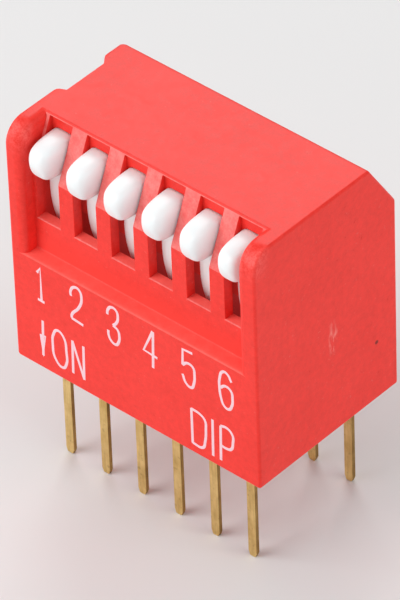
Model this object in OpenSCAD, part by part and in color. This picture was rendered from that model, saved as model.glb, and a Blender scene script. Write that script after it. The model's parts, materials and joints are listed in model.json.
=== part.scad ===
// Piano-type DIP switch: a slotted cover over a base with two rows of flat terminals,
// and one rocking lever per pole that carries a bridge contact down onto two pads.
// The origin is the centre of the terminal pattern on the seating plane.
// +X runs along the row of levers, -Y is the lever side and +Z is up.

/* [Switch] */
// Number of levers
poles = 6; // [2:1:10]
// Distance from one lever to the next, and between terminals of a row
pitch = 2.54; // [2.2:0.02:3.4]
// Distance between the two rows of terminals
row_gap = 7.62; // [6.4:0.02:8.2]

/* [Body] */
// Depth of the body, front to back
body_d = 10.8; // [10:0.1:13.5]
// Height of the body above the seating plane
body_h = 15.2; // [14.4:0.1:20]
// Body that stands past the outer terminals' half pitch, at each end
end_margin = 0.75; // [0.6:0.05:2]
// Thickness of each end wall, which is also the width of the front end strips
end_wall = 1.07; // [0.8:0.01:1.2]
// Thickness of the top, back and sloping walls
wall = 0.8; // [0.6:0.05:1]
// Radius of the top front edge
front_r = 1.3; // [0.5:0.1:2]
// Depth of the sloping top rear edge
slope_d = 1.98; // [0.6:0.02:2.4]
// Height of the sloping top rear edge
slope_h = 3.06; // [0.6:0.02:4]

/* [Front] */
// Setback of the slotted panel behind the front face
recess_depth = 0.85; // [0.6:0.05:1.1]
// Height of the ledge where the slotted panel starts
ledge_z = 7.2; // [6:0.1:8.2]
// Thickness of the ledge
ledge_t = 0.8; // [0.5:0.05:1.2]
// Thickness of the slotted panel
panel_t = 0.6; // [0.4:0.05:0.7]
// Height of the body's top over the sill below each lever
sill_drop = 5.96; // [5.4:0.02:6.8]
// Width of each lever slot
slot_w = 1.58; // [1.45:0.01:1.75]
// Distance from the front face to the back of the recess at the top
recess_back = 2.22; // [1.9:0.02:2.6]
// Height below the top where the panel starts to lean back
bend_drop = 3.8; // [3:0.1:5]
// Radius of the bend in the panel
bend_r = 3; // [1:0.1:4]
// Lean of the upper panel from the vertical, in degrees
lean = 30; // [20:1:40]

/* [Partitions] */
// Gap between the slotted panel and the partitions behind it
partition_gap = 1.4; // [1:0.1:1.8]
// Reach of the partitions behind the pivot
partition_reach = 1.4; // [1.1:0.1:1.8]
// Reach of the partitions below the pivot
partition_drop = 2.5; // [2:0.1:2.8]
// Height of the bearing posts' tops below the pivot
post_drop = 0.3; // [0.2:0.05:0.4]

/* [End groove] */
// Depth of the groove in the left end
groove_depth = 0.62; // [0.2:0.02:0.7]
// Width of the groove's floor
groove_w = 2.8; // [1:0.1:3.4]
// Offset of the groove's floor towards the back
groove_y = 0.1; // [-1:0.1:1]
// Run of the groove's front flank
groove_front = 0.29; // [0:0.01:0.8]
// Run of the groove's rear flank
groove_rear = 0.8; // [0:0.01:0.9]

/* [Lever] */
// Width of each lever knob
knob_w = 1.3; // [1.1:0.01:1.4]
// Height of each lever knob
knob_h = 1.95; // [1.6:0.05:2.2]
// Setback of the knob behind the front face
knob_setback = 0.25; // [0.1:0.05:0.6]
// Height of the body's top over the knob's top
knob_drop = 0.8; // [0.8:0.05:1.2]
// Radius of the knob's top front edge
knob_top_r = 0.8; // [0.4:0.05:1]
// Radius of the knob's lower front edge
knob_low_r = 0.45; // [0.2:0.05:0.6]
// Radius of the knob's two upright front edges
knob_side_r = 0.32; // [0.1:0.02:0.45]
// Radius of the knob's long side edges
knob_edge_r = 0.22; // [0.1:0.02:0.4]
// Thickness of the plate that carries the knob
plate_w = 0.9; // [0.8:0.02:1]
// Thickness of the curved skirt under the knob
skirt_t = 0.5; // [0.4:0.05:0.7]
// Radius of the skirt's front
skirt_r = 8; // [6:0.5:12]
// Distance from the panel's bend down to the foremost line of the skirt
skirt_drop = 0.2; // [0:0.05:0.5]
// Reach of the skirt below the sill
skirt_overlap = 0.89; // [0.7:0.01:1]
// Position of the pivot behind the middle of the body
pivot_y = 1.2; // [0.9:0.05:1.5]
// Height of the body's top over the pivot
pivot_drop = 3.7; // [3.5:0.05:4]
// Depth of the lever's arm below the pivot
arm_drop = 1; // [0.6:0.05:1]
// Width of the lug that stops the lever under the cover's top
lug_w = 0.6; // [0.4:0.05:0.8]
// Radius of the lever's hub
hub_r = 1.1; // [1.05:0.05:1.3]
// Radius of the trunnions
trunnion_r = 0.5; // [0.4:0.02:0.6]
// Length of each trunnion outside the plate
trunnion_l = 0.4; // [0.3:0.02:0.41]

/* [Contacts] */
// Width of a terminal
blade_w = 0.56; // [0.4:0.02:0.7]
// Thickness of a terminal
blade_t = 0.25; // [0.2:0.01:0.3]
// Length of the terminals below the seating plane
leg_l = 6.7; // [2.5:0.1:8]
// Height of the terminals' tapered tips
tip_h = 0.3; // [0.1:0.05:0.6]
// Width of the terminals' tips
tip_w = 0.36; // [0.2:0.02:0.4]
// Height of the pivot over the contact bed's top
bed_drop = 4.4; // [4.1:0.1:5.5]
// Front of the contact bed, from the middle of the body
bed_front = -0.1; // [-0.2:0.05:0.1]
// Back of the contact bed, from the middle of the body
bed_back = 2.9; // [2.6:0.05:3]
// Length of each contact pad under the bridge contact
pad_lap = 0.15; // [0.1:0.01:0.2]
// Thickness of the bridge contact
bridge_t = 0.15; // [0.1:0.01:0.2]
// Width of the bridge contact
bridge_w = 0.5; // [0.3:0.02:0.6]
// Distance between the bridge contact's two legs
bridge_span = 1.8; // [1.4:0.05:1.9]
// Length of the bridge contact's legs
bridge_leg = 1.05; // [0.8:0.05:1.2]
// Height of the lever's foot below the bridge contact's bar
foot_lip = 0.3; // [0.2:0.05:0.4]

/* [Base] */
// Thickness of the base's floor
floor_t = 2.05; // [1.4:0.05:2.6]
// Height of the floor's underside over the seating plane
floor_lift = 0.15; // [0:0.05:0.4]
// Height of each catch bead on the base
bead_h = 0.4; // [0.2:0.05:0.6]
// Length of each catch bead
bead_l = 3; // [1:0.5:4]
// Reach of each catch bead past the floor's edge
bead_out = 0.12; // [0.08:0.01:0.2]

/* [Fits] */
// Clearance between the base and the cover
fit_gap = 0.05; // [0.02:0.01:0.08]
// Radial clearance of the trunnions in their seats
pivot_gap = 0.05; // [0.02:0.01:0.1]
// Clearance between the skirt and the slotted panel
skirt_gap = 0.08; // [0.05:0.01:0.15]
// Clearance on each side of the lever's plate
side_gap = 0.1; // [0.05:0.01:0.15]
// Clearance at the lever's stops
stop_gap = 0.05; // [0.03:0.01:0.1]
// Clearance between the closed contacts
touch_gap = 0.05; // [0.03:0.01:0.08]
// Clearance around the bridge contact where it passes through the lever
bridge_gap = 0.02; // [0.01:0.01:0.05]
// Clearance between the lever's foot and the bridge contact's legs
leg_gap = 0.05; // [0.03:0.01:0.1]

/* [Hidden] */
$fn = 96;

moulding_red = "#ef4238";
base_red = "#c8322b";
lever_white = "#f6f6f8";
gold = "#c9a24e";

// Amount by which a cut runs past the face that it opens
past = 1;
// Amount by which a piece runs into the one that it grows from
root = 0.5;
lap = 0.25;
half_l = poles * pitch / 2 + end_margin;
inner_l = half_l - end_wall;
front_y = -body_d / 2;
back_y = body_d / 2;
panel_y = front_y + recess_depth;
panel_in = panel_y + panel_t;
recess_y = front_y + recess_back;
bend_z = body_h - bend_drop;
ceiling = body_h - wall;
sill_z = body_h - sill_drop;
pivot_z = body_h - pivot_drop;
bed_z = pivot_z - bed_drop;
row_y = row_gap / 2;
function pole_x(i) = (i - (poles + 1) / 2) * pitch;

// Channel between the partitions, in which the lever's plate moves
channel_w = plate_w + 2 * side_gap;
partition_front = panel_in + partition_gap;
partition_back = pivot_y + partition_reach;
partition_low = pivot_z - partition_drop;
partition_h = ceiling + wall / 2 - partition_low;
seat_r = trunnion_r + pivot_gap;
seat_end = inner_l - fit_gap;

// The knob and its travel
knob_top = body_h - knob_drop;
knob_low = knob_top - knob_h;
knob_front = front_y + knob_setback;
knob_back = recess_y - stop_gap;
skirt_front = panel_in + skirt_gap;
skirt_low = sill_z - skirt_overlap;
// The knob's lower front edge meets the sill when the lever is down
edge_y = knob_front + knob_low_r - pivot_y;
edge_z = knob_low + knob_low_r - pivot_z;
edge_r = norm([edge_y, edge_z]);
stop_z = pivot_z - sill_z - knob_low_r - stop_gap;
turn = asin(edge_z / edge_r) + asin(stop_z / edge_r);

// The bridge contact, measured down from the pivot with the lever down
pad_z = bed_z + blade_t;
pad_reach = bridge_span / 2 - pad_lap;
bridge_low = pivot_z - pad_z - touch_gap;
bridge_high = bridge_low - bridge_leg;
foot_w = bridge_span - 2 * bridge_t - 2 * leg_gap;
foot_low = bridge_high + foot_lip;
floor_top = floor_lift + floor_t;

// Draws a side view (y, z) as a slab of the given width about x = 0
module slab(w) {
    translate([-w / 2, 0, 0])
        rotate([90, 0, 90])
            linear_extrude(w)
                children();
}

module at_pivot() {
    translate([pivot_y, pivot_z])
        children();
}

// Side outline of the body with its rounded and its sloping top edge
module body_outline() {
    polygon([
        [front_y, 0],
        [front_y, body_h - front_r],
        [front_y + front_r, body_h],
        [back_y - slope_d, body_h],
        [back_y, body_h - slope_h],
        [back_y, 0]
    ]);
    translate([front_y + front_r, body_h - front_r])
        circle(front_r);
}

// All that lies behind the panel's face, or behind a face set in by a distance
module behind_panel(inset, last_y, top_z) {
    r = bend_r - inset;
    centre_y = panel_y + bend_r;
    touch_y = centre_y - r * cos(lean);
    touch_z = bend_z + r * sin(lean);
    end_z = min(top_z, touch_z + (last_y - touch_y) / tan(lean));
    polygon([
        [panel_y + inset, 0],
        [panel_y + inset, bend_z],
        [touch_y, touch_z],
        [touch_y + (end_z - touch_z) * tan(lean), end_z],
        [touch_y + (end_z - touch_z) * tan(lean), top_z],
        [back_y, top_z],
        [back_y, 0]
    ]);
    intersection() {
        translate([centre_y, bend_z])
            circle(r);
        translate([panel_y, 0])
            square([body_d, top_z]);
    }
}

// Hollow of the cover, open at the bottom
module hollow_outline() {
    run = norm([slope_d, slope_h]);
    slope_y = back_y - slope_d - wall * slope_h / run;
    slope_z = body_h - wall * slope_d / run;
    intersection() {
        union() {
            behind_panel(panel_t, back_y, ceiling);
            translate([panel_y, 0])
                square([body_d, ledge_z - ledge_t]);
        }
        polygon([
            [panel_y, -past],
            [panel_y, ceiling],
            [slope_y + (slope_z - ceiling) * slope_d / slope_h, ceiling],
            [back_y - wall, slope_z - (back_y - wall - slope_y) * slope_h / slope_d],
            [back_y - wall, -past]
        ]);
    }
    translate([panel_y, -past])
        square([back_y - wall - panel_y, 2 * past]);
}

// Seat that opens downwards, for a trunnion to enter
module seat_outline() {
    at_pivot() {
        circle(seat_r);
        translate([-seat_r, -pivot_z])
            square([2 * seat_r, pivot_z]);
    }
}

module partition(i) {
    x = pole_x(i) + pitch / 2;
    w = pitch - channel_w;
    difference() {
        translate([x - w / 2, partition_front, partition_low])
            cube([w, partition_back - partition_front, partition_h]);
        translate([x, 0, 0])
            slab(w + past)
                seat_outline();
    }
}

// Partition against an end wall, with a seat that stops short of the wall
module end_partition() {
    x = pole_x(poles) + channel_w / 2;
    x_end = inner_l + (end_wall - groove_depth) / 2;
    difference() {
        translate([x, partition_front, partition_low])
            cube([x_end - x, partition_back - partition_front, partition_h]);
        translate([seat_end - past, 0, 0])
            slab(2 * past)
                seat_outline();
    }
}

module both_ends() {
    children();
    mirror([1, 0, 0])
        children();
}

module slot_outline() {
    translate([front_y - past, sill_z])
        square([partition_front - front_y + past, ceiling - sill_z]);
    translate([front_y - past, sill_z])
        square([recess_y - front_y + past, body_h - sill_z + past]);
}

module end_groove() {
    y0 = groove_y - groove_w / 2;
    y1 = groove_y + groove_w / 2;
    translate([-half_l, 0, -past])
        linear_extrude(body_h + 2 * past)
            polygon([
                [-past, y0 - groove_front * (1 + past / groove_depth)],
                [groove_depth, y0],
                [groove_depth, y1],
                [-past, y1 + groove_rear * (1 + past / groove_depth)]
            ]);
}

// Catch beads on the base, and the grooves for them in the cover
module beads(extra) {
    for (side = [-1, 1])
        translate([side * half_l / 2, 0, floor_lift + floor_t / 2])
            for (y = [panel_y + fit_gap, back_y - wall - fit_gap])
                translate([0, y, 0])
                    cube([bead_l + 2 * extra, 2 * (bead_out + extra), bead_h + 2 * extra], center = true);
}

module cover() {
    color(moulding_red) {
        difference() {
            slab(2 * half_l)
                body_outline();
            slab(2 * inner_l)
                difference() {
                    translate([front_y - past, ledge_z])
                        square([recess_y - front_y + past, body_h]);
                    behind_panel(0, recess_y, body_h + past);
                }
            slab(2 * inner_l)
                hollow_outline();
            for (i = [1 : poles])
                translate([pole_x(i), 0, 0])
                    slab(slot_w)
                        slot_outline();
            end_groove();
            beads(fit_gap);
        }
        for (i = [1 : poles - 1])
            partition(i);
        both_ends()
            end_partition();
    }
}

// Upright post that closes a pair of seats from below
module post(x0, x1) {
    translate([(x0 + x1) / 2, 0, 0])
        slab(x1 - x0)
            at_pivot()
                difference() {
                    translate([fit_gap - seat_r, -partition_drop - root])
                        square([2 * (seat_r - fit_gap), partition_drop + root - post_drop]);
                    circle(seat_r);
                }
}

module divider(x0, x1) {
    translate([x0, bed_front, bed_z - root])
        cube([x1 - x0, bed_back - bed_front, partition_low - fit_gap - bed_z + root]);
    post(x0, x1);
}

module base() {
    w = pitch - channel_w;
    color(base_red)
        difference() {
            union() {
                translate([-seat_end, panel_y + fit_gap, floor_lift])
                    cube([2 * seat_end, back_y - wall - panel_y - 2 * fit_gap, floor_t]);
                translate([-seat_end, bed_front, floor_lift])
                    cube([2 * seat_end, bed_back - bed_front, bed_z - floor_lift]);
                for (i = [1 : poles - 1])
                    divider(pole_x(i) + pitch / 2 - w / 2, pole_x(i) + pitch / 2 + w / 2);
                both_ends()
                    divider(pole_x(poles) + channel_w / 2, seat_end - fit_gap);
                beads(0);
            }
            for (i = [1 : poles])
                for (y = [-row_y, row_y])
                    translate([pole_x(i), y, floor_lift])
                        cube([blade_w, blade_t, 3 * floor_t], center = true);
        }
}

// Side outline of the knob with its two rounded front edges
module knob_outline() {
    polygon([
        [knob_back, knob_low],
        [knob_front + knob_low_r, knob_low],
        [knob_front, knob_low + knob_low_r],
        [knob_front, knob_top - knob_top_r],
        [knob_front + knob_top_r, knob_top],
        [knob_back, knob_top]
    ]);
    translate([knob_front + knob_low_r, knob_low + knob_low_r])
        circle(knob_low_r);
    translate([knob_front + knob_top_r, knob_top - knob_top_r])
        circle(knob_top_r);
}

// A rectangle about x = 0 from y0 to y1, with round corners at y0 and, if asked, at y1
module soft_rect(w, y0, y1, r, both) {
    end = both ? y1 - r : y1;
    translate([-w / 2, y0 + r])
        square([w, end - y0 - r]);
    translate([r - w / 2, y0])
        square([w - 2 * r, y1 - y0]);
    for (x = [r - w / 2, w / 2 - r])
        for (y = both ? [y0 + r, y1 - r] : [y0 + r])
            translate([x, y])
                circle(r);
}

module knob() {
    intersection() {
        slab(knob_w)
            knob_outline();
        translate([0, 0, knob_low - past])
            linear_extrude(knob_h + 2 * past)
                soft_rect(knob_w, knob_front, knob_back, knob_side_r, false);
        translate([0, knob_back + past, 0])
            rotate([90, 0, 0])
                linear_extrude(knob_back - knob_front + 2 * past)
                    soft_rect(knob_w, knob_low, knob_top, knob_edge_r, true);
    }
}

// The plate that joins the knob, the skirt, the hub and the foot
module plate_outline() {
    // Skirt: part of a ring with its middle far behind
    intersection() {
        translate([skirt_front + skirt_r, bend_z - skirt_drop])
            difference() {
                circle(skirt_r);
                circle(skirt_r - skirt_t);
            }
        translate([front_y, skirt_low])
            square([pivot_y - front_y, knob_low + knob_low_r - skirt_low]);
    }
    // Arm from the knob and the skirt back to the hub
    polygon([
        [skirt_front + lap, pivot_z - arm_drop],
        [skirt_front + lap, knob_low + lap],
        [knob_back - lap, knob_low + lap],
        [knob_back - lap, ceiling - stop_gap],
        [knob_back + lug_w, ceiling - stop_gap],
        [pivot_y + hub_r * sin(15), pivot_z + hub_r * cos(15)],
        [pivot_y, pivot_z - arm_drop]
    ]);
    at_pivot() {
        circle(hub_r);
        rotate(-turn)
            translate([-foot_w / 2, -foot_low])
                square([foot_w, foot_low]);
    }
}

// The bridge contact, drawn with the lever down: a bar through the foot and two legs
module bridge_outline(extra) {
    translate([-bridge_span / 2 - extra, -bridge_high - extra])
        square([bridge_span + 2 * extra, bridge_t + 2 * extra]);
    for (y = [-bridge_span / 2, bridge_span / 2 - bridge_t])
        translate([y, bridge_t / 2 - bridge_low])
            square([bridge_t, bridge_low - bridge_high]);
    for (y = [-bridge_span / 2, bridge_span / 2])
        translate([y - sign(y) * bridge_t / 2, bridge_t / 2 - bridge_low])
            circle(bridge_t / 2);
}

module lever(i) {
    color(lever_white)
        translate([pole_x(i), 0, 0]) {
            knob();
            difference() {
                slab(plate_w)
                    plate_outline();
                slab(bridge_w + 2 * bridge_gap)
                    at_pivot()
                        rotate(-turn)
                            bridge_outline(bridge_gap);
            }
            translate([0, pivot_y, pivot_z])
                rotate([0, 90, 0])
                    cylinder(h = plate_w + 2 * trunnion_l, r = trunnion_r, center = true);
        }
}

module contact(i) {
    color(gold)
        translate([pole_x(i), 0, 0])
            slab(bridge_w)
                at_pivot()
                    rotate(-turn)
                        bridge_outline(0);
}

// Terminal with its leg at the given distance from the bed's face that it climbs
module terminal_outline(leg_y, bed_y, pad_end) {
    side = sign(leg_y);
    out = bed_y + side * blade_t;
    for (box = [
        [leg_y - blade_t / 2, leg_y + blade_t / 2, tip_h - leg_l, floor_top + blade_t],
        [out, leg_y + side * blade_t / 2, floor_top, floor_top + blade_t],
        [bed_y, out, floor_top, pad_z],
        [pad_end, out, bed_z, pad_z]
    ])
        translate([min(box[0], box[1]), box[2]])
            square([abs(box[1] - box[0]), box[3] - box[2]]);
}

// Tapered tip of a leg, seen from the front
module tip(leg_y) {
    translate([0, leg_y + blade_t / 2, -leg_l])
        rotate([90, 0, 0])
            linear_extrude(blade_t)
                polygon([
                    [-tip_w / 2, 0],
                    [tip_w / 2, 0],
                    [blade_w / 2, tip_h],
                    [-blade_w / 2, tip_h]
                ]);
}

module front_terminal(i) {
    color(gold)
        translate([pole_x(i), 0, 0]) {
            slab(blade_w)
                terminal_outline(-row_y, bed_front, pivot_y - pad_reach);
            tip(-row_y);
        }
}

module rear_terminal(i) {
    color(gold)
        translate([pole_x(i), 0, 0]) {
            slab(blade_w)
                terminal_outline(row_y, bed_back, pivot_y + pad_reach);
            tip(row_y);
        }
}

cover();
base();
for (i = [1 : poles]) {
    lever(i);
    contact(i);
    front_terminal(i);
    rear_terminal(poles + 1 - i);
}
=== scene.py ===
"""Looks of the piano-type DIP switch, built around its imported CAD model."""

import json
import math

import bmesh
import bpy
from mathutils import Matrix, Vector

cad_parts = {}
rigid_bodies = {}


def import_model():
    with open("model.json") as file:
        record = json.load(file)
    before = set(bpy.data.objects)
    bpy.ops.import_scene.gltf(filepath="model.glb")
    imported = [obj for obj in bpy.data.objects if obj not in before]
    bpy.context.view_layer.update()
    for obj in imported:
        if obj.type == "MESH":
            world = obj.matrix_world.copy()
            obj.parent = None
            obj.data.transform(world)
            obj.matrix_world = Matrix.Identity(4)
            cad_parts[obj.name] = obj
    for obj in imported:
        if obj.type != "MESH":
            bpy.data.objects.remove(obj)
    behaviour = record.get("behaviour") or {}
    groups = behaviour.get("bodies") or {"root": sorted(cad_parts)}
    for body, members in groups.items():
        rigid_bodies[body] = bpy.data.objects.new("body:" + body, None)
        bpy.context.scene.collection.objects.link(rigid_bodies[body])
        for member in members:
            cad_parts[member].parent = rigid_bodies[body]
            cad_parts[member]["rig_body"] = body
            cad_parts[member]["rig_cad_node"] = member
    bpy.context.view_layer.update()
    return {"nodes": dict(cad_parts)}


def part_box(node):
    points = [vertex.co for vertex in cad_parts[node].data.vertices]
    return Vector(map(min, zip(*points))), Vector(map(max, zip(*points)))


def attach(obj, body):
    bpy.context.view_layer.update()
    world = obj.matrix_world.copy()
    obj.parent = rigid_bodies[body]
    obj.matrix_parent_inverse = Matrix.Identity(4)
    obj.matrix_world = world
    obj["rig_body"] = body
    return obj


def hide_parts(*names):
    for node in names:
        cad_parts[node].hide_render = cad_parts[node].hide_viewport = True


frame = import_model()

# Pieces are modelled in millimetres and brought to metres when they are done.
MM = 0.001
# Two measures closer than this are the same one.
NEAR = 0.004

# ---------------------------------------------------------------- sizes, in mm
POLES = 6
PITCH = 2.54
LEG_LOW = -6.7

# The cover's outside: a block with a rounded nose and a sloping rear top.
HALF_L = 8.37
FRONT_Y = -5.4
BACK_Y = 5.4
TOP_Z = 15.2
FRONT_R = 1.3
SLOPE_Y = 3.42
SLOPE_Z = 12.14

# The groove down the left end: its floor, and which way its two sides face.
GROOVE_X = -7.75
GROOVE_Y = (-1.3, 1.5)
GROOVE_SIDES = ((0.29, -0.62, 0), (0.80, 0.62, 0))
GROOVE_REACH = 4
GROOVE_MOUTH = 3

# The recess between the end strips: a ledge, a slotted panel that bends back at
# the top, and the rim where its leaning ribs meet the top face.
INNER_L = 7.3
INNER_R = 7.2
LEDGE_Z = 7.2
PANEL_Y = -4.55
PANEL_IN = -3.95
BEND_R = 0.45
BEND_Z = 12.1
RIM_Y = -3.2
RECESS_Y = -3.18
LEAN = math.atan2(RIM_Y - PANEL_Y, TOP_Z - BEND_Z)

# The slots, with the narrow neck behind each knob and the shallow band above it.
SLOT_W = 1.54
SLOT_BACK = -2.6
SILL_Z = 9.24
NECK_Z = 13.6
NECK_LAP = 0.5
BAND_D = 0.05
BAND_Z = 15.07

# The rooms inside the cover, the channels of the levers and their bearing seats.
ROOM_L = 7.27
ROOM_BACK = 4.6
LOW_ROOM_TOP = 6.4
MID_ROOM_TOP = 9.0
HIGH_ROOM_LOW = 8.9
CEILING = 14.4
FRONT_ROOM_BACK = -2.55
REAR_ROOM_FRONT = 2.6
REAR_ROOM_SLOPE_Y = 2.76
LEAN_IN = math.radians(30)
LEAN_IN_Y = -3.6284
LEAN_IN_Z = 12.6
CHANNEL_W = 0.96
CHANNEL_Y = (-2.65, 2.7)
SEAT_L = 7.25
SEAT_R = 0.55
SEAT_LOW = 8
PIVOT_Y = 1.2
PIVOT_Z = 11.5

# Rounded edges of the cover.
EDGE_R = 0.13
LEFT_R = 0.2
RIGHT_R = 0.16
TAB_R = 0.45
LEDGE_R = 0.09
RIM_R = 0.09
FILLET_R = 0.07
SLOT_R = 0.06
SILL_R = 0.04
LEFT_STRIP_R = 0.5
RIGHT_STRIP_R = 0.4

# Steps round the nose, the bend, the cover's other edges and the small edges.
NOSE_STEPS, BEND_STEPS, EDGE_STEPS, FINE_STEPS = 12, 5, 4, 2

# How far a cutting tool reaches past what it cuts.
REACH = 1
# An edge of the whole recess is longer than the first, one of a slot than the second.
LONG_EDGE = 5
SLOT_EDGE = 1


def pole_x(number):
    return (number - (POLES + 1) / 2) * PITCH


# ------------------------------------------------------------ modelling helpers
ROD_SIDES = 48
CUT_TOLERANCE = 0.0001
DOUBLES = 0.0008
FLAT_ANGLE = math.radians(0.4)
SMOOTH_ANGLE = math.radians(38)
FLAT_FACE_WEIGHT = 60


def only(*pieces):
    bpy.ops.object.select_all(action="DESELECT")
    for piece in pieces:
        piece.select_set(True)
    bpy.context.view_layer.objects.active = pieces[0]


def block(name, x, y, z):
    """A box from its lowest to its highest x, y and z."""
    low = Vector((x[0], y[0], z[0]))
    high = Vector((x[1], y[1], z[1]))
    bpy.ops.object.select_all(action="DESELECT")
    bpy.ops.mesh.primitive_cube_add(size=1, location=(low + high) / 2, scale=high - low)
    piece = bpy.context.object
    piece.name = name
    bpy.ops.object.transform_apply(location=True, rotation=True, scale=True)
    return piece


def rod(name, x, y, z, radius):
    """A round bar along X from its lowest to its highest x."""
    bpy.ops.object.select_all(action="DESELECT")
    bpy.ops.mesh.primitive_cylinder_add(
        vertices=ROD_SIDES,
        radius=radius,
        depth=x[1] - x[0],
        location=((x[0] + x[1]) / 2, y, z),
        rotation=(0, math.pi / 2, 0),
    )
    piece = bpy.context.object
    piece.name = name
    bpy.ops.object.transform_apply(location=True, rotation=True, scale=True)
    return piece


def open_mesh(piece):
    only(piece)
    bpy.ops.object.mode_set(mode="EDIT")
    bpy.ops.mesh.select_mode(type="EDGE")
    bpy.ops.mesh.select_all(action="DESELECT")


def close_mesh():
    bpy.ops.object.mode_set(mode="OBJECT")


def slice_off(piece, point, normal):
    """Cuts away what lies on the normal's side of a plane, and closes the cut."""
    open_mesh(piece)
    bpy.ops.mesh.select_all(action="SELECT")
    bpy.ops.mesh.bisect(
        plane_co=point,
        plane_no=Vector(normal).normalized(),
        use_fill=True,
        clear_outer=True,
        threshold=CUT_TOLERANCE,
    )
    close_mesh()


def round_edges(piece, radius, segments, test):
    """Rounds the edges whose two ends pass the test."""
    open_mesh(piece)
    mesh = bmesh.from_edit_mesh(piece.data)
    for edge in mesh.edges:
        first, second = edge.verts[0].co, edge.verts[1].co
        edge.select_set(bool(test(first, second)))
    bmesh.update_edit_mesh(piece.data)
    bpy.ops.mesh.bevel(
        offset=radius,
        offset_type="OFFSET",
        segments=segments,
        profile=0.5,
        affect="EDGES",
        clamp_overlap=False,
    )
    close_mesh()


def weigh_edges(piece, width, segments, radius_of):
    """Rounds edges to the radius that radius_of gives for their two ends."""
    weights = piece.data.attributes.new("bevel_weight_edge", "FLOAT", "EDGE")
    points = [vertex.co for vertex in piece.data.vertices]
    for edge in piece.data.edges:
        first, second = (points[index] for index in edge.vertices)
        weights.data[edge.index].value = radius_of(first, second) / width
    only(piece)
    modifier = piece.modifiers.new("edges", "BEVEL")
    modifier.limit_method = "WEIGHT"
    modifier.width = width
    modifier.segments = segments
    modifier.use_clamp_overlap = False
    bpy.ops.object.modifier_apply(modifier=modifier.name)
    piece.data.attributes.remove(piece.data.attributes["bevel_weight_edge"])


def tidy_mesh(piece):
    """Merges doubles and dissolves the edges that lie inside flat faces."""
    open_mesh(piece)
    bpy.ops.mesh.select_all(action="SELECT")
    bpy.ops.mesh.remove_doubles(threshold=DOUBLES)
    bpy.ops.mesh.dissolve_limited(angle_limit=FLAT_ANGLE)
    bpy.ops.mesh.normals_make_consistent(inside=False)
    close_mesh()


def combine(piece, how, *tools):
    """Applies a boolean with each tool in turn, and removes the tools."""
    for tool in tools:
        only(piece)
        modifier = piece.modifiers.new("combine", "BOOLEAN")
        modifier.operation = how
        modifier.solver = "EXACT"
        modifier.object = tool
        bpy.ops.object.modifier_apply(modifier=modifier.name)
        bpy.data.objects.remove(tool, do_unlink=True)


def to_metres(piece):
    only(piece)
    piece.scale = (MM, MM, MM)
    bpy.ops.object.transform_apply(location=True, rotation=True, scale=True)


def smooth(piece):
    """Smooth shading across rounded edges, with the large faces kept flat."""
    only(piece)
    bpy.ops.object.shade_smooth_by_angle(angle=SMOOTH_ANGLE)
    modifier = piece.modifiers.new("flat faces", "WEIGHTED_NORMAL")
    modifier.mode = "FACE_AREA"
    modifier.weight = FLAT_FACE_WEIGHT
    modifier.keep_sharp = True
    bpy.ops.object.modifier_apply(modifier=modifier.name)


def cad_copy(node, name):
    """A merged copy of a CAD node, in millimetres."""
    source = frame["nodes"][node]
    piece = source.copy()
    piece.data = source.data.copy()
    piece.name = name
    piece.parent = None
    piece.matrix_world = Matrix.Identity(4)
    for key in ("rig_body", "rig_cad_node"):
        if key in piece:
            del piece[key]
    bpy.context.scene.collection.objects.link(piece)
    only(piece)
    piece.scale = (1 / MM, 1 / MM, 1 / MM)
    bpy.ops.object.transform_apply(location=True, rotation=True, scale=True)
    piece.data.materials.clear()
    tidy_mesh(piece)
    return piece


def twin(piece, name, shift):
    """A copy with its own mesh, moved by a distance in metres."""
    other = piece.copy()
    other.data = piece.data.copy()
    other.name = name
    bpy.context.scene.collection.objects.link(other)
    other.data.transform(Matrix.Translation(shift))
    return other


def dress(piece, *materials):
    piece.data.materials.clear()
    for material in materials:
        piece.data.materials.append(material)


def close_to(value, target):
    return abs(value - target) < NEAR


def ends_at(first, second, x=None, y=None, z=None):
    """True where both ends of an edge have the x, y and z that are given."""
    wanted = [(axis, value) for axis, value in enumerate((x, y, z)) if value is not None]
    return all(close_to(end[axis], value) for end in (first, second) for axis, value in wanted)


# -------------------------------------------------------------------- materials
class Value:
    """A socket of a finish. Python's operators on it add Math nodes."""

    def __init__(self, finish, socket):
        self.finish = finish
        self.socket = socket

    def maths(self, operation, *values):
        inputs = dict(enumerate(values))
        return self.finish.add("ShaderNodeMath", {"operation": operation}, inputs, "Value")

    def __add__(self, other):
        return self.maths("ADD", self, other)

    def __radd__(self, other):
        return self.maths("ADD", other, self)

    def __sub__(self, other):
        return self.maths("SUBTRACT", self, other)

    def __rsub__(self, other):
        return self.maths("SUBTRACT", other, self)

    def __mul__(self, other):
        return self.maths("MULTIPLY", self, other)

    def __rmul__(self, other):
        return self.maths("MULTIPLY", other, self)


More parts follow.
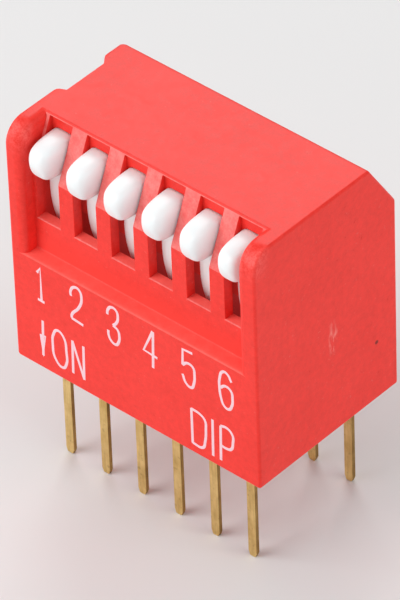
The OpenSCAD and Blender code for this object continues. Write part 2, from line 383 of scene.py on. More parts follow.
class Finish:
    """A material under construction."""

    def __init__(self, name):
        self.material = bpy.data.materials.new(name)
        self.material.use_nodes = True
        self.tree = self.material.node_tree
        self.tree.nodes.clear()
        self.place = self.add("ShaderNodeTexCoord", {}, {}, "Object")

    def add(self, kind, settings, inputs, output=0):
        """Adds a node: its settings first, then the values or links of its sockets."""
        node = self.tree.nodes.new(kind)
        for key, value in settings.items():
            setattr(node, key, value)
        for key, value in inputs.items():
            socket = node.inputs[key]
            if isinstance(value, Value):
                self.tree.links.new(value.socket, socket)
            elif socket.type == "RGBA":
                socket.default_value = (*value[:3], 1)
            else:
                socket.default_value = value
        return Value(self, node.outputs[output]) if node.outputs else None

    def along(self, axis):
        """The place along one axis, in metres."""
        return self.add("ShaderNodeSeparateXYZ", {}, {"Vector": self.place}, axis)

    def mapped(self, scale, shift=(0, 0, 0)):
        """The place, scaled and then shifted."""
        inputs = {"Vector": self.place, "Location": shift, "Scale": scale}
        return self.add("ShaderNodeMapping", {}, inputs, "Vector")

    def noise(self, scale, detail=2.0, roughness=0.5, place=None):
        inputs = {
            "Vector": place or self.place,
            "Scale": scale,
            "Detail": detail,
            "Roughness": roughness,
        }
        return self.add("ShaderNodeTexNoise", {}, inputs, "Fac")

    def span(self, value, low, high, to_low=0.0, to_high=1.0):
        """Brings a value's range to another, and holds it there."""
        inputs = {
            "Value": value,
            "From Min": low,
            "From Max": high,
            "To Min": to_low,
            "To Max": to_high,
        }
        return self.add("ShaderNodeMapRange", {"clamp": True}, inputs, "Result")

    def mix(self, factor, first, second):
        """Mixes two colours, whose sockets are the mix node's seventh and eighth."""
        inputs = {0: factor, 6: first, 7: second}
        return self.add("ShaderNodeMix", {"data_type": "RGBA"}, inputs, 2)

    def bump(self, height, distance, strength):
        inputs = {"Height": height, "Distance": distance, "Strength": strength}
        return self.add("ShaderNodeBump", {}, inputs, "Normal")

    def done(self, inputs, kind="ShaderNodeBsdfPrincipled"):
        """Ends the material with its shader."""
        shader = self.add(kind, {}, inputs, "BSDF")
        self.add("ShaderNodeOutputMaterial", {}, {"Surface": shader})
        return self.material


# Noise of the moulded plastic, in waves per metre.
CLOUD, MOTTLE, GRAIN, SPECK, RIPPLE, STREAK = 420, 2400, 9000, 5200, 1600, 4200
# Noise of the levers, of the gold and of the ink, in waves per metre.
HAZE, SATIN = 600, 7000
DRAWN, TARNISH, SPOT = 7000, 900, 3500
INK_GRAIN = 8000
# Drawn or scraped noise is stretched along Z by one over the last number.
SCRAPED, DRAWN_OUT = (1, 1, 0.25), (1, 1, 0.1)
# Depth of the relief on each, in metres.
MOULDED_DEPTH, SATIN_DEPTH, DRAWN_DEPTH = 0.000012, 0.000004, 0.000008
# Roughness runs from the first below a finish's middle value to the second above it.
GLOSSIER, DULLER = 0.08, 0.1

RED_DARK, RED_LIGHT = (0.86, 0.036, 0.026), (0.98, 0.050, 0.038)
# Painted sheen: a lighter copy of the red for the leaning rib faces and the sill edges, which
# are also frosted.
FROSTED_SHEEN_DARK, FROSTED_SHEEN_LIGHT = (0.94, 0.11, 0.10), (1.0, 0.24, 0.22)
# Painted sheen: a lighter copy of the red for the ledge and the sills, which face up.
LEDGE_SHEEN_DARK, LEDGE_SHEEN_LIGHT = (0.96, 0.095, 0.076), (1.0, 0.130, 0.106)
BASE_DARK, BASE_LIGHT = (0.5, 0.022, 0.02), (0.58, 0.03, 0.026)
SPECK_RED = (0.9, 0.2, 0.17)
# Painted light: the panel turns lighter towards the ledge, against the shade in the corner.
CORNER_LIGHT_RED = (0.99, 0.080, 0.064)
# Painted highlight for the rounded noses of the end strips, between front and top.
NOSE_SHEEN_RED = (1.0, 0.17, 0.15)
SCUFF_RED = (1.0, 0.30, 0.26)
DOT_BROWN = (0.12, 0.012, 0.01)

# Where things are on the plastic, in metres. Each range runs from none to all.
# Heights of the painted light low on the panel.
CORNER_LIGHT_Z = (0.0083, 0.0072)
# Where the painted highlight lies on the noses of the end strips.
NOSE_Z = (0.0134, 0.0146)
NOSE_Y = (-0.0042, -0.0048)
SCUFF_AT = (HALF_L * MM, 0.0004, 0.0062)
SCUFF_SLIM = 0.3
SCUFF_REACH = (0.0019, 0.0011)
SCUFF_WAVE = 0.0012
SCUFF_RAISED = 1.5
DOT_AT = (HALF_L * MM, 0.00376, 0.0038)
DOT_REACH = (0.00019, 0.00013)
DOT_WAVE = 0.00008
# How strongly each mark, and the painted highlight on the noses, covers the colour below it.
SPECKED, NOSE_SHEEN, SCUFFED, DOTTED = 0.35, 0.55, 0.8, 0.85

# Painted glow: an emission on the rooms inside the cover and on the base, for daylight
# that comes through the thin walls, and the heights between which it comes up, so
# that the underside keeps none of it.
WALL_GLOW = (0.06, 0.007, 0.006)
BED_GLOW = (0.27, 0.020, 0.019)
GLOW_Z = (0.002, 0.008)


def wear_and_nose_sheen(finish, colour, blotch):
    """A painted highlight on the rounded noses of both end strips, and wear: a scuff and a
    dark dot on the right end.

    Returns the colour and how far each point of the scuff is raised."""
    # Painted highlight on the noses, broken up by the blotches.
    nose = finish.span(finish.along("Z"), *NOSE_Z) * finish.span(finish.along("Y"), *NOSE_Y)
    nose_sheen = nose * finish.span(blotch, 0.4, 0.6)
    colour = finish.mix(nose_sheen * NOSE_SHEEN, colour, NOSE_SHEEN_RED)
    wavy = finish.noise(RIPPLE, 3, 0.6)
    streak = finish.noise(STREAK, 3, 0.6, finish.mapped(SCRAPED))
    x, y, z = SCUFF_AT
    centred = finish.mapped((1, 1 / SCUFF_SLIM, 1), (-x, -y / SCUFF_SLIM, -z))
    reach = finish.add("ShaderNodeVectorMath", {"operation": "LENGTH"}, {0: centred}, "Value")
    blot = finish.span(reach + wavy * SCUFF_WAVE, *SCUFF_REACH)
    scuff = blot * finish.span(streak, 0.48, 0.56)
    colour = finish.mix(scuff * SCUFFED, colour, SCUFF_RED)
    ends = {0: finish.place, 1: DOT_AT}
    away = finish.add("ShaderNodeVectorMath", {"operation": "DISTANCE"}, ends, "Value")
    dot = finish.span(away + wavy * DOT_WAVE, *DOT_REACH)
    return finish.mix(dot * DOTTED, colour, DOT_BROWN), scuff


def moulded(
    name,
    dark=RED_DARK,
    light=RED_LIGHT,
    rough=0.34,
    specular=0.19,
    relief=0.5,
    marked=False,
    corner_light=False,
    glow=None,
):
    """Satin moulded plastic: cloudy colour, a fine mottle and a fine eroded texture; where
    asked, also wear marks with a painted highlight, painted light towards the ledge, and a
    painted glow.
    """
    finish = Finish(name)
    cloud = finish.noise(CLOUD, 3)
    mottle = finish.noise(MOTTLE, 4, 0.62)
    grain = finish.noise(GRAIN, 2, 0.6)
    blotch = mottle * 0.6 + grain * 0.4
    speck = finish.span(finish.noise(SPECK), 0.68, 0.75)
    blend = finish.span(cloud * 0.25 + mottle * 0.5 + grain * 0.25, 0.38, 0.62)
    colour = finish.mix(blend, dark, light)
    colour = finish.mix(speck * SPECKED, colour, SPECK_RED)
    height = mottle * 0.4 + grain * 0.6
    # Painted light towards the ledge, against the shade in the corner.
    if corner_light:
        colour = finish.mix(finish.span(finish.along("Z"), *CORNER_LIGHT_Z), colour, CORNER_LIGHT_RED)
    # Painted highlight on the noses, and the scuff and dot of wear.
    if marked:
        colour, scuff = wear_and_nose_sheen(finish, colour, blotch)
        height = height + scuff * SCUFF_RAISED
    inputs = {
        "Base Color": colour,
        "Roughness": finish.span(blotch, 0.3, 0.7, rough - GLOSSIER, rough + DULLER),
        "Specular IOR Level": specular,
        "Normal": finish.bump(height, MOULDED_DEPTH, relief),
    }
    # Painted glow, fading out towards the underside.
    if glow:
        lit = finish.span(finish.along("Z"), *GLOW_Z)
        inputs["Emission Color"] = finish.mix(lit, (0, 0, 0), glow)
        inputs["Emission Strength"] = 1.0
    return finish.done(inputs)


WHITE_DARK, WHITE_LIGHT = (0.85, 0.895, 0.93), (0.89, 0.935, 0.965)
# How far red, green and blue light travel inside the white plastic, in metres.
MILKY_REACH = (0.0009, 0.00075, 0.00075)


def lever_plastic(name):
    """Milky white plastic that lets light in a little way."""
    finish = Finish(name)
    grain = finish.noise(SATIN)
    return finish.done(
        {
            "Base Color": finish.mix(finish.noise(HAZE), WHITE_DARK, WHITE_LIGHT),
            "Roughness": finish.span(grain, 0.3, 0.7, 0.3, 0.4),
            "Subsurface Weight": 0.8,
            "Subsurface Radius": MILKY_REACH,
            "Subsurface Scale": 1.0,
            "Normal": finish.bump(grain, SATIN_DEPTH, 0.4),
        }
    )


GOLD_DARK, GOLD_LIGHT = (0.62, 0.41, 0.13), (0.88, 0.65, 0.28)
# A darker gold for the pins' left and right faces: painted shade, on sides that are also
# sheared.
SHADED_SHEARED_DARK, SHADED_SHEARED_LIGHT = (0.26, 0.15, 0.04), (0.50, 0.32, 0.10)
SPOT_BROWN = (0.25, 0.13, 0.035)
# A darker olive towards the body.
OLIVE_NEAR_BODY = (0.34, 0.29, 0.12)
OLIVE_Z = (-0.0009, 0.0006)
OLIVE_WAVE = 0.0012
SPOTTED, OLIVE_COVER = 0.35, 0.55


def plated(name, dark, light, rough):
    """Thin gold over drawn metal: long streaks, cloudy tarnish, and a darker olive towards the
    body.
    """
    finish = Finish(name)
    streak = finish.noise(DRAWN, 3, 0.6, finish.mapped(DRAWN_OUT))
    cloud = finish.noise(TARNISH, 3, 0.6)
    spots = finish.span(finish.noise(SPOT), 0.62, 0.74)
    plate = finish.mix(finish.span(cloud * 0.5 + streak * 0.5, 0.36, 0.64), dark, light)
    plate = finish.mix(spots * SPOTTED, plate, SPOT_BROWN)
    # Darker olive towards the body, wavering with the clouds.
    olive_band = finish.span(finish.along("Z") + cloud * OLIVE_WAVE, *OLIVE_Z)
    return finish.done(
        {
            "Base Color": finish.mix(olive_band * OLIVE_COVER, plate, OLIVE_NEAR_BODY),
            "Metallic": 1.0,
            "Roughness": finish.span(streak, 0.3, 0.7, rough - GLOSSIER, rough + DULLER),
            "Normal": finish.bump(streak, DRAWN_DEPTH, 0.6),
        }
    )


INK_DARK, INK_LIGHT = (0.93, 0.56, 0.63), (0.97, 0.69, 0.75)


def ink(name):
    """Pale pink printing ink, with the grain of the plastic showing through."""
    finish = Finish(name)
    grain = finish.noise(INK_GRAIN, 3, 0.6)
    return finish.done(
        {
            "Base Color": finish.mix(grain, INK_DARK, INK_LIGHT),
            "Roughness": 0.5,
            "Normal": finish.bump(grain, SATIN_DEPTH, 0.5),
        }
    )


moulding_red = moulded("moulding_red", marked=True)
# Painted sheen, on a rougher frosted finish, for the leaning rib faces and the sill edges.
frosted_sheen_red = moulded("frosted_sheen_red", FROSTED_SHEEN_DARK, FROSTED_SHEEN_LIGHT, 0.55, 0.35, 1.0)
# Painted sheen for the ledge and the sills.
ledge_sheen_red = moulded("ledge_sheen_red", LEDGE_SHEEN_DARK, LEDGE_SHEEN_LIGHT, 0.5, 0.3, 0.7)
# The panel, with painted light towards the ledge.
panel_red = moulded("panel_red", corner_light=True)
# Painted glow on the walls of the rooms inside the cover.
inner_red = moulded("inner_red", glow=WALL_GLOW)
# Painted glow on the base.
base_red = moulded("base_red", BASE_DARK, BASE_LIGHT, 0.45, 0.5, glow=BED_GLOW)
lever_white = lever_plastic("lever_white")
gold_plate = plated("gold_plate", GOLD_DARK, GOLD_LIGHT, 0.36)
# Painted shade on the pins' sheared sides.
shaded_sheared_gold = plated("shaded_sheared_gold", SHADED_SHEARED_DARK, SHADED_SHEARED_LIGHT, 0.42)
print_ink = ink("print_ink")

# The cover's materials, in the order of its slots; the frosted, ledge and panel ones carry
# painted sheen and painted light, the inside one a painted glow.
COVER_FINISHES = (moulding_red, frosted_sheen_red, ledge_sheen_red, panel_red, inner_red)
OUTSIDE, FROSTED_SHEEN, LEDGE, PANEL, INSIDE = range(5)

# ------------------------------------------------------------------ cover shell
# A face or a point this close to a plane lies on it.
ON_FACE = 0.01


def recess_tools():
    """The recess above the ledge, with its rear wall leaning back above the bend."""
    wide = (-INNER_L, INNER_R)
    lower = block("recess_low", wide, (FRONT_Y - REACH, PANEL_Y), (LEDGE_Z, TOP_Z + REACH))
    high = (LEDGE_Z + REACH, TOP_Z + REACH)
    upper = block("recess_high", wide, (FRONT_Y - REACH, RECESS_Y), high)
    slice_off(upper, (0, PANEL_Y, BEND_Z), (0, math.cos(LEAN), -math.sin(LEAN)))
    return lower, upper


def groove_tool():
    deep = (-HALF_L - REACH, GROOVE_X)
    groove = block("groove", deep, (-GROOVE_REACH, GROOVE_REACH), (-REACH, TOP_Z + REACH))
    for y, side in zip(GROOVE_Y, GROOVE_SIDES):
        slice_off(groove, (GROOVE_X, y, 0), side)
    return groove


def slot_tools():
    """For each lever: its slot, the neck behind the knob and the shallow band above."""
    tools = []
    for number in range(1, POLES + 1):
        x = pole_x(number)
        side = (x - SLOT_W / 2, x + SLOT_W / 2)
        neck = (x - CHANNEL_W / 2, x + CHANNEL_W / 2)
        front = FRONT_Y - REACH
        tools += [
            block("slot", side, (front, SLOT_BACK), (SILL_Z, NECK_Z)),
            block("slot", neck, (front, SLOT_BACK), (NECK_Z - NECK_LAP, CEILING)),
            block("slot", side, (front, RECESS_Y + BAND_D), (SILL_Z + REACH, BAND_Z)),
        ]
    return tools


def room_tools():
    """The rooms that hold the base and the levers, and the seats of the trunnions."""
    wide = (-ROOM_L, ROOM_L)
    high = (HIGH_ROOM_LOW, CEILING)
    tools = [
        block("low_room", wide, (PANEL_Y, ROOM_BACK), (-REACH, LOW_ROOM_TOP)),
        block("mid_room", wide, (PANEL_IN, ROOM_BACK), (-REACH, MID_ROOM_TOP)),
    ]
    front = block("front_room", wide, (PANEL_IN, FRONT_ROOM_BACK), high)
    slice_off(front, (0, LEAN_IN_Y, LEAN_IN_Z), (0, -math.cos(LEAN_IN), math.sin(LEAN_IN)))
    rear = block("rear_room", wide, (REAR_ROOM_FRONT, ROOM_BACK), high)
    slice_off(rear, (0, REAR_ROOM_SLOPE_Y, TOP_Z), (0, TOP_Z - SLOPE_Z, BACK_Y - SLOPE_Y))
    tools += [front, rear]
    for number in range(1, POLES + 1):
        x = pole_x(number)
        tools.append(block("channel", (x - CHANNEL_W / 2, x + CHANNEL_W / 2), CHANNEL_Y, high))
    seats = (-SEAT_L, SEAT_L)
    tools += [
        block("seat", seats, (PIVOT_Y - SEAT_R, PIVOT_Y + SEAT_R), (SEAT_LOW, PIVOT_Z)),
        rod("seat_top", seats, PIVOT_Y, PIVOT_Z, SEAT_R),
    ]
    return tools


def off_lean(y, z):
    """Distance of a point behind the plane of the ribs' leaning faces."""
    return (y - PANEL_Y) * math.cos(LEAN) - (z - BEND_Z) * math.sin(LEAN)


def on_panel(point):
    """True on the front of the slotted panel, its bend or the leaning part above it."""
    if close_to(point.y, PANEL_Y) and point.z < BEND_Z:
        return True
    centre_y = PANEL_Y + BEND_R
    centre_z = BEND_Z - BEND_R * math.tan(LEAN / 2)
    away = math.hypot(point.y - centre_y, point.z - centre_z)
    if abs(point.z - BEND_Z) < BEND_R / 2 and abs(away - BEND_R) < ON_FACE:
        return True
    return BEND_Z < point.z < TOP_Z - SLOT_R and abs(off_lean(point.y, point.z)) < ON_FACE


def on_slot_side(x):
    return any(close_to(abs(x - pole_x(n)), SLOT_W / 2) for n in range(1, POLES + 1))


def slot_rim(a, b):
    """True for the sill and the two sides of a slot, where they meet the panel."""
    if not (on_panel(a) and on_panel(b)):
        return False
    if ends_at(a, b, z=SILL_Z) and abs(a.x - b.x) > SLOT_EDGE:
        return True
    return on_slot_side(a.x) and on_slot_side(b.x) and abs(a.x - b.x) < NEAR


def strip_nose(point):
    """True on the front, the top or the rounded edge between them."""
    away = math.hypot(point.y - FRONT_Y - FRONT_R, point.z - TOP_Z + FRONT_R)
    on_round = abs(away - FRONT_R) < 2 * ON_FACE
    return close_to(point.y, FRONT_Y) or close_to(point.z, TOP_Z) or on_round


def cover_radius(a, b):
    """The radius of an edge of the cover, which is 0 where it stays sharp."""
    if ends_at(a, b, x=-HALF_L):
        beside_groove = close_to(a.y, b.y) and abs(a.y) < GROOVE_MOUTH
        on_slope = min(a.y, b.y) > GROOVE_MOUTH / 2 and min(a.z, b.z) > SLOPE_Z - NEAR
        return TAB_R if beside_groove or on_slope else LEFT_R
    if ends_at(a, b, x=HALF_L):
        return RIGHT_R
    if all(close_to(end.z, 0) or close_to(end.y, BACK_Y) for end in (a, b)):
        return EDGE_R
    if ends_at(a, b, y=SLOPE_Y, z=TOP_Z):
        return EDGE_R
    if ends_at(a, b, y=FRONT_Y, z=LEDGE_Z):
        return LEDGE_R
    if ends_at(a, b, y=RIM_Y, z=TOP_Z):
        return RIM_R
    if strip_nose(a) and strip_nose(b) and max(a.y, b.y) < RIM_Y + NEAR:
        if ends_at(a, b, x=-INNER_L):
            return LEFT_STRIP_R
        if ends_at(a, b, x=INNER_R):
            return RIGHT_STRIP_R
    return 0


def long_edge(y, z, least):
    """A test for the edges along X at a y and z that are longer than the least."""
    return lambda a, b: ends_at(a, b, y=y, z=z) and abs(a.x - b.x) > least


def make_cover():
    cover = block("cover_shell", (-HALF_L, HALF_L), (FRONT_Y, BACK_Y), (0, TOP_Z))
    slice_off(cover, (0, SLOPE_Y, TOP_Z), (0, TOP_Z - SLOPE_Z, BACK_Y - SLOPE_Y))
    round_edges(cover, FRONT_R, NOSE_STEPS, long_edge(FRONT_Y, TOP_Z, LONG_EDGE))
    combine(cover, "DIFFERENCE", *recess_tools())
    tidy_mesh(cover)
    bend = BEND_R * math.tan(LEAN / 2)
    round_edges(cover, bend, BEND_STEPS, long_edge(PANEL_Y, BEND_Z, LONG_EDGE))
    round_edges(cover, FILLET_R, FINE_STEPS, long_edge(PANEL_Y, LEDGE_Z, LONG_EDGE))
    combine(cover, "DIFFERENCE", groove_tool())
    tidy_mesh(cover)
    weigh_edges(cover, LEFT_STRIP_R, EDGE_STEPS, cover_radius)
    combine(cover, "DIFFERENCE", *slot_tools())
    tidy_mesh(cover)
    round_edges(cover, SLOT_R, FINE_STEPS, slot_rim)
    combine(cover, "DIFFERENCE", *room_tools())
    tidy_mesh(cover)
    round_edges(cover, SILL_R, FINE_STEPS, long_edge(PANEL_IN, SILL_Z, SLOT_EDGE))
    return cover


# How far a face looks to the front (-Y) or up (+Z), from its normal.
STRAIGHT_FRONT, MOSTLY_FRONT = -0.9, -0.7
SLANTS_UP, NEARLY_LEVEL = 0.3, 0.94
# What lies this far behind the ribs' leaning faces is not part of them.
BEHIND_RIBS = 0.1
# How far the painted sheen of the ledge and the sills reaches down and up round their edges.
LEDGE_BAND = (LEDGE_Z - 0.12, LEDGE_Z + 0.25)
SILL_BAND = (SILL_Z - 0.07, SILL_Z + 0.07)


def recess_finish(x, y, z, normal):
    """The material of a face of the recess, from its middle and its normal, with painted sheen
    on the leaning rib faces, the sills and the ledge, and painted light low on the panel.
    """
    if not ON_FACE - INNER_L < x < INNER_R - ON_FACE or y > RECESS_Y:
        return OUTSIDE
    if close_to(y, PANEL_Y) and normal.y < STRAIGHT_FRONT and z < BEND_Z:
        return PANEL
    on_ledge = y < PANEL_Y + 2 * ON_FACE and LEDGE_BAND[0] < z < LEDGE_BAND[1]
    on_sill = y < PANEL_IN + SILL_R + ON_FACE and SILL_BAND[0] < z < SILL_BAND[1]
    # Painted sheen on the rounded front edges of the sills.
    if on_sill and SLANTS_UP < normal.z < NEARLY_LEVEL:
        return FROSTED_SHEEN
    # Painted sheen on the ledge and the sills.
    if (on_ledge or on_sill) and normal.z > SLANTS_UP:
        return LEDGE
    # Painted sheen on the leaning faces of the ribs.
    leaning = BEND_Z - 2 * ON_FACE < z < TOP_Z and abs(off_lean(y, z)) < 3 * ON_FACE
    return FROSTED_SHEEN if leaning and normal.y < MOSTLY_FRONT else OUTSIDE


def is_inside(x, y, z, normal):
    """True for a face of the rooms and channels inside the cover."""
    in_rooms = abs(x) < ROOM_L + NEAR and PANEL_IN - NEAR < y < ROOM_BACK + NEAR
    at_height = ON_FACE < z < CEILING + NEAR and off_lean(y, z) > BEHIND_RIBS
    on_slope = normal.y > SLANTS_UP and normal.z > SLANTS_UP
    on_band = close_to(y, RECESS_Y + BAND_D)
    return in_rooms and at_height and not (on_slope or on_band or on_slot_side(x))


cover_shell = make_cover()
to_metres(cover_shell)
smooth(cover_shell)
dress(cover_shell, *COVER_FINISHES)
for face in cover_shell.data.polygons:
    middle = face.center / MM
    inside = is_inside(*middle, face.normal)
    face.material_index = INSIDE if inside else recess_finish(*middle, face.normal)
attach(cover_shell, "housing")
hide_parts("cover")

# ----------------------------------------------------------------------- levers
KNOB_BACK = -3.145
KNOB_TOP = 14.39
KNOB_LOW = 12.45
KNOB_HALF = 0.745
KNOB_MIDDLE = 13.42
KNOB_CORNER = 0.1
KNOB_LEVELS = 4
# Rings of the bulb's cage: half width, then y and z of the low, middle and top points.
KNOB_RINGS = {
    -4.3: (0.735, (-4.3, 12.28), (-4.3, 13.42), (-4.3, 14.42)),
    -5.1: (0.635, (-5.1, 12.47), (-5.1, 13.42), (-5.1, 14.22)),
    -5.5: (0.38, (-5.17, 12.8), (-5.46, 13.42), (-5.3, 13.97)),
}
# The CAD lever's plain knob is cut back to a core, and the bulb is built round it.
CORE_HALF = 0.45
CORE_FRONT = -3.21
CORE_LOW = 12.4
CORE_TOP = 14.31
TOP_CUT_BACK = -3.0
SIDE_CUT_BACK = -3.1
SIDE_CUT_LOW = 12
CUT_HALF = 0.8
CUT_FRONT = -6
CUT_TOP = 15
# Off its middle line by more than this, a point of the cage is on a side.
OFF_MIDDLE = 0.1


def make_knob():
    """A bulb that grows out of a crisp upright rectangle at its back."""
    nose = min(KNOB_RINGS)
    knob = block("knob", (-KNOB_HALF, KNOB_HALF), (nose, KNOB_BACK), (KNOB_LOW, KNOB_TOP))
    open_mesh(knob)
    cuts = [((0, y, 0), (0, 1, 0)) for y in KNOB_RINGS if y != nose]
    cuts += [((0, 0, KNOB_MIDDLE), (0, 0, 1)), ((0, 0, 0), (1, 0, 0))]
    for point, normal in cuts:
        bpy.ops.mesh.select_all(action="SELECT")
        bpy.ops.mesh.bisect(plane_co=point, plane_no=normal, threshold=CUT_TOLERANCE)
    close_mesh()
    sharp_edges = knob.data.attributes.new("crease_edge", "FLOAT", "EDGE")
    sharp_points = knob.data.attributes.new("crease_vert", "FLOAT", "POINT")
    places = [vertex.co.copy() for vertex in knob.data.vertices]
    for edge in knob.data.edges:
        if ends_at(*(places[index] for index in edge.vertices), y=KNOB_BACK):
            sharp_edges.data[edge.index].value = 1.0
    for vertex, place in zip(knob.data.vertices, places):
        level = place.z - KNOB_MIDDLE
        if close_to(place.y, KNOB_BACK):
            corner = abs(place.x) > OFF_MIDDLE and abs(level) > OFF_MIDDLE
            sharp_points.data[vertex.index].value = KNOB_CORNER * corner
            continue
        ring = next(y for y in KNOB_RINGS if close_to(place.y, y))
        half, low, middle, top = KNOB_RINGS[ring]
        side = top if level > OFF_MIDDLE else low if level < -OFF_MIDDLE else middle
        vertex.co = (place.x * half / KNOB_HALF, *side)
    only(knob)
    modifier = knob.modifiers.new("bulb", "SUBSURF")
    modifier.levels = modifier.render_levels = KNOB_LEVELS
    bpy.ops.object.modifier_apply(modifier=modifier.name)
    for name in ("crease_edge", "crease_vert"):
        knob.data.attributes.remove(knob.data.attributes[name])
    return knob


def make_lever():
    """The CAD lever's body with a bulb for a knob."""
    lever = cad_copy("lever_1", "lever_1_piece")
    only(lever)
    lever.location = (-pole_x(1), 0, 0)
    bpy.ops.object.transform_apply(location=True, rotation=True, scale=True)
    wide = (-CUT_HALF, CUT_HALF)
    side_y, side_z = (CUT_FRONT, SIDE_CUT_BACK), (SIDE_CUT_LOW, CUT_TOP)
    combine(
        lever,
        "DIFFERENCE",
        block("off_front", wide, (CUT_FRONT, CORE_FRONT), (CORE_LOW, CUT_TOP)),
        block("off_top", wide, (CUT_FRONT, TOP_CUT_BACK), (CORE_TOP, CUT_TOP)),
        block("off_left", (-CUT_HALF, -CORE_HALF), side_y, side_z),
        block("off_right", (CORE_HALF, CUT_HALF), side_y, side_z),
    )
    tidy_mesh(lever)
    combine(lever, "UNION", make_knob())
    tidy_mesh(lever)
    to_metres(lever)
    smooth(lever)
    dress(lever, lever_white)
    return lever


first_lever = make_lever()
for number in range(1, POLES + 1):
    lever = twin(first_lever, f"rocker_lever_{number}", (pole_x(number) * MM, 0, 0))
    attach(lever, f"rocker_{number}")
    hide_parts(f"lever_{number}")
bpy.data.objects.remove(first_lever, do_unlink=True)

# -------------------------------------------------------- terminals and contacts
PIN_R = 0.03
PIN_ANGLE = math.radians(40)
# A face that looks this far to the left or right is a sheared side, and gets the darker gold,
# which is also painted shade.
SHADED_SHEARED_SIDE = 0.9


def make_pin(node):
    """A terminal with its edges broken, and a darker gold on its sheared sides that is also
    painted shade.
    """
    pin = cad_copy(node, f"{node}_pin")
    only(pin)
    modifier = pin.modifiers.new("edges", "BEVEL")
    modifier.width = PIN_R
    modifier.segments = FINE_STEPS
    modifier.limit_method = "ANGLE"
    modifier.angle_limit = PIN_ANGLE
    bpy.ops.object.modifier_apply(modifier=modifier.name)
    to_metres(pin)
    smooth(pin)
    dress(pin, gold_plate, shaded_sheared_gold)
    # The pins' left and right faces take the darker gold, painted shade on sheared sides.
    for face in pin.data.polygons:
        face.material_index = int(abs(face.normal.x) > SHADED_SHEARED_SIDE)
    return pin


for first in (1, POLES + 1):
    pin = make_pin(f"terminal_{first}")
    low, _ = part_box(f"terminal_{first}")
    for number in range(first, first + POLES):
        here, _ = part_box(f"terminal_{number}")
        piece = twin(pin, f"pin_{number}", (here.x - low.x, 0, 0))
        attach(piece, "housing")
        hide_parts(f"terminal_{number}")
    bpy.data.objects.remove(pin, do_unlink=True)

dress(frame["nodes"]["base"], base_red)
for number in range(1, POLES + 1):
    dress(frame["nodes"][f"contact_{number}"], gold_plate)

# ------------------------------------------------------------------------ print
STROKE = 0.092
STROKE_SIDES = 2
STROKE_STEPS = 6
STROKE_FLATNESS = 0.12
STROKE_SUNK = 0.002
STROKE_ANGLE = math.radians(60)
STRAIGHT, ROUND = "POLY", "BEZIER"

# Each mark is a list of strokes, each a kind and its points' x and z. A stroke
# that ends where it began is a ring.
PRINT = {
    "digit_1": [
        (STRAIGHT, [(-6.58, 6.41), (-6.35, 6.80), (-6.37, 4.65)]),
        (STRAIGHT, [(-6.62, 4.62), (-6.16, 4.60)]),
    ],
    "digit_2": [
        (
            ROUND,
            [(-4.25, 6.10), (-4.27, 6.37), (-4.01, 6.78), (-3.68, 6.79)]
            + [(-3.52, 6.22), (-3.75, 5.54), (-4.26, 4.82), (-4.27, 4.60)],
        ),
        (STRAIGHT, [(-4.28, 4.60), (-3.48, 4.52)]),
    ],
    "digit_3": [
        (
            ROUND,
            [(-1.75, 6.22), (-1.70, 6.53), (-1.45, 6.82), (-1.13, 6.77)]
            + [(-1.02, 6.34), (-1.14, 5.94), (-1.38, 5.65)],
        ),
        (
            ROUND,
            [(-1.39, 5.65), (-1.09, 5.52), (-0.98, 5.20), (-1.07, 4.65)]
            + [(-1.25, 4.44), (-1.57, 4.55), (-1.72, 4.86), (-1.73, 5.18)],
        ),
    ],
    "digit_4": [
        (STRAIGHT, [(1.36, 6.72), (0.68, 5.16), (1.62, 5.08)]),
        (STRAIGHT, [(1.38, 6.72), (1.29, 4.27)]),
    ],
    "digit_5": [
        (STRAIGHT, [(4.04, 6.70), (3.38, 6.65), (3.34, 5.60)]),
        (
            ROUND,
            [(3.33, 5.61), (3.68, 5.88), (4.04, 5.79), (4.13, 5.34)]
            + [(4.07, 4.75), (3.87, 4.36), (3.55, 4.46), (3.31, 4.99)],
        ),
    ],
    "digit_6": [
        (
            ROUND,
            [(6.63, 6.21), (6.36, 6.62), (6.10, 6.64), (5.83, 6.02), (5.81, 5.45)]
            + [(5.89, 4.81), (6.10, 4.35), (6.38, 4.29), (6.61, 4.64)]
            + [(6.67, 5.11), (6.57, 5.62), (6.22, 5.74), (5.88, 5.49)],
        ),
    ],
    "arrow": [
        (STRAIGHT, [(-6.37, 3.30), (-6.41, 2.30)]),
        (STRAIGHT, [(-6.58, 2.22), (-6.25, 2.28), (-6.46, 0.86), (-6.58, 2.22)]),
        (STRAIGHT, [(-6.42, 2.28), (-6.46, 0.9)]),
    ],
    "letter_o": [
        (
            ROUND,
            [(-5.34, 3.18), (-5.66, 2.75), (-5.74, 2.05), (-5.60, 1.15), (-5.12, 0.80)]
            + [(-4.83, 1.2), (-4.79, 2.0), (-4.95, 2.95), (-5.34, 3.18)],
        ),
    ],
    "letter_n": [
        (STRAIGHT, [(-4.38, 0.84), (-4.32, 3.06)]),
        (STRAIGHT, [(-4.33, 3.06), (-3.61, 0.80)]),
        (STRAIGHT, [(-3.62, 0.80), (-3.56, 3.08)]),
    ],
    "letter_d": [
        (STRAIGHT, [(3.82, 2.97), (3.83, 0.63)]),
        (
            ROUND,
            [(3.82, 2.95), (4.44, 2.87), (4.72, 2.65), (4.77, 2.04)]
            + [(4.70, 1.25), (4.50, 0.69), (3.83, 0.66)],
        ),
    ],
    "letter_i": [(STRAIGHT, [(5.25, 3.00), (5.21, 0.54)])],
    "letter_p": [
        (STRAIGHT, [(5.79, 2.86), (5.74, 0.55)]),
        (
            ROUND,
            [(5.79, 2.88), (6.26, 2.94), (6.58, 2.67), (6.60, 2.18)]
            + [(6.44, 1.64), (6.14, 1.54), (5.77, 1.56)],
        ),
    ],
}


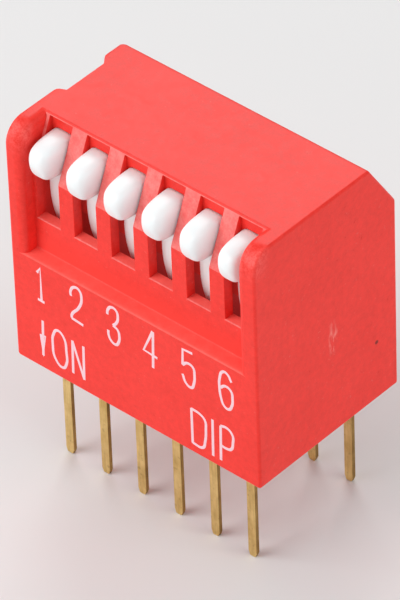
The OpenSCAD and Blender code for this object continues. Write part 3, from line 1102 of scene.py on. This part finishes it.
def add_stroke(curve, kind, points):
    """Adds one stroke to a mark's curve, in the plane of the front face."""
    closed = points[0] == points[-1]
    if closed:
        points = points[:-1]
    spline = curve.splines.new(kind)
    if kind == ROUND:
        spline.bezier_points.add(len(points) - 1)
        for knot, (x, z) in zip(spline.bezier_points, points):
            knot.co = (x, 0, z)
            knot.handle_left_type = knot.handle_right_type = "AUTO"
        spline.resolution_u = STROKE_STEPS
    else:
        spline.points.add(len(points) - 1)
        for knot, (x, z) in zip(spline.points, points):
            knot.co = (x, 0, z, 1)
    spline.use_cyclic_u = closed


def print_mark(name, strokes):
    """Prints a mark as slightly crowned ribbons on the front face."""
    curve = bpy.data.curves.new(name, "CURVE")
    curve.dimensions = "3D"
    curve.bevel_depth = STROKE
    curve.bevel_resolution = STROKE_SIDES
    curve.use_fill_caps = True
    for kind, points in strokes:
        add_stroke(curve, kind, points)
    piece = bpy.data.objects.new(name, curve)
    bpy.context.scene.collection.objects.link(piece)
    only(piece)
    bpy.ops.object.convert(target="MESH")
    piece = bpy.context.object
    piece.data.transform(Matrix.Diagonal((1, STROKE_FLATNESS, 1, 1)))
    piece.data.transform(Matrix.Translation((0, FRONT_Y + STROKE_SUNK, 0)))
    to_metres(piece)
    bpy.ops.object.shade_smooth_by_angle(angle=STROKE_ANGLE)
    dress(piece, print_ink)
    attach(piece, "housing")


for name, strokes in PRINT.items():
    print_mark(name, strokes)

# ------------------------------------------------------------------------ stage
FLOOR_HALF = 4000
FLOOR_DEEP = 5
FLOOR_GAP = 0.02
FLOOR_GREY = (0.8, 0.8, 0.8)
ROOM_LIGHT = 0.33

floor = block(
    "floor",
    (-FLOOR_HALF, FLOOR_HALF),
    (-FLOOR_HALF, FLOOR_HALF),
    (LEG_LOW - FLOOR_DEEP, LEG_LOW - FLOOR_GAP),
)
to_metres(floor)
dress(floor, Finish("floor_paper").done({"Color": FLOOR_GREY}, "ShaderNodeBsdfDiffuse"))

world = bpy.data.worlds.new("studio")
bpy.context.scene.world = world
world.use_nodes = True
world.node_tree.nodes["Background"].inputs["Color"].default_value = (1, 1, 1, 1)
world.node_tree.nodes["Background"].inputs["Strength"].default_value = ROOM_LIGHT

# Soft lamps: where they stand seen from the object, their size in mm and their watts.
LAMPS = {
    "key": ((-0.50, -0.72, 0.46), (320, 320), 1.06),
    "over": ((-0.10, -0.35, 0.93), (320, 320), 0.25),
    "back": ((-0.52, 0.56, 0.64), (200, 170), 0.48),
    "fill": ((0.90, 0.10, 0.42), (300, 300), 0.6),
}
LAMP_DISTANCE = 400
LAMP_AIM = Vector((0, 0, 5)) * MM

for name, (direction, size, power) in LAMPS.items():
    light = bpy.data.lights.new(name, "AREA")
    light.shape = "RECTANGLE"
    light.size, light.size_y = size[0] * MM, size[1] * MM
    light.energy = power
    lamp = bpy.data.objects.new(name, light)
    bpy.context.scene.collection.objects.link(lamp)
    lamp.location = LAMP_AIM + Vector(direction).normalized() * LAMP_DISTANCE * MM
    lamp.rotation_euler = (lamp.location - LAMP_AIM).to_track_quat("Z", "Y").to_euler()

# ----------------------------------------------------------------------- camera
# Angles in radians; the distance, the offset across and up, and the lens in mm.
AZIMUTH = 0.7481229526
ELEVATION = 0.6971015866
ROLL = -0.0380755086
DISTANCE = 335.903
OFFSET = (0.3579102577617167, -3.508670768610322)
LENS = 390
SENSOR = 36

toward = Vector(
    (
        math.sin(AZIMUTH) * math.cos(ELEVATION),
        -math.cos(AZIMUTH) * math.cos(ELEVATION),
        math.sin(ELEVATION),
    )
)
level = Vector((math.cos(AZIMUTH), math.sin(AZIMUTH), 0))
upright = toward.cross(level).normalized()
right = math.cos(ROLL) * level + math.sin(ROLL) * upright
up = math.cos(ROLL) * upright - math.sin(ROLL) * level
lens = bpy.data.cameras.new("camera")
lens.sensor_fit = "VERTICAL"
lens.sensor_height = SENSOR
lens.lens = LENS
lens.clip_start = 0.01
camera = bpy.data.objects.new("camera", lens)
bpy.context.scene.collection.objects.link(camera)
place = (toward * DISTANCE - right * OFFSET[0] - up * OFFSET[1]) * MM
turn = Matrix((right, up, toward)).transposed().to_4x4()
camera.matrix_world = Matrix.Translation(place) @ turn
bpy.context.scene.camera = camera
bpy.context.scene.view_settings.view_transform = "Standard"
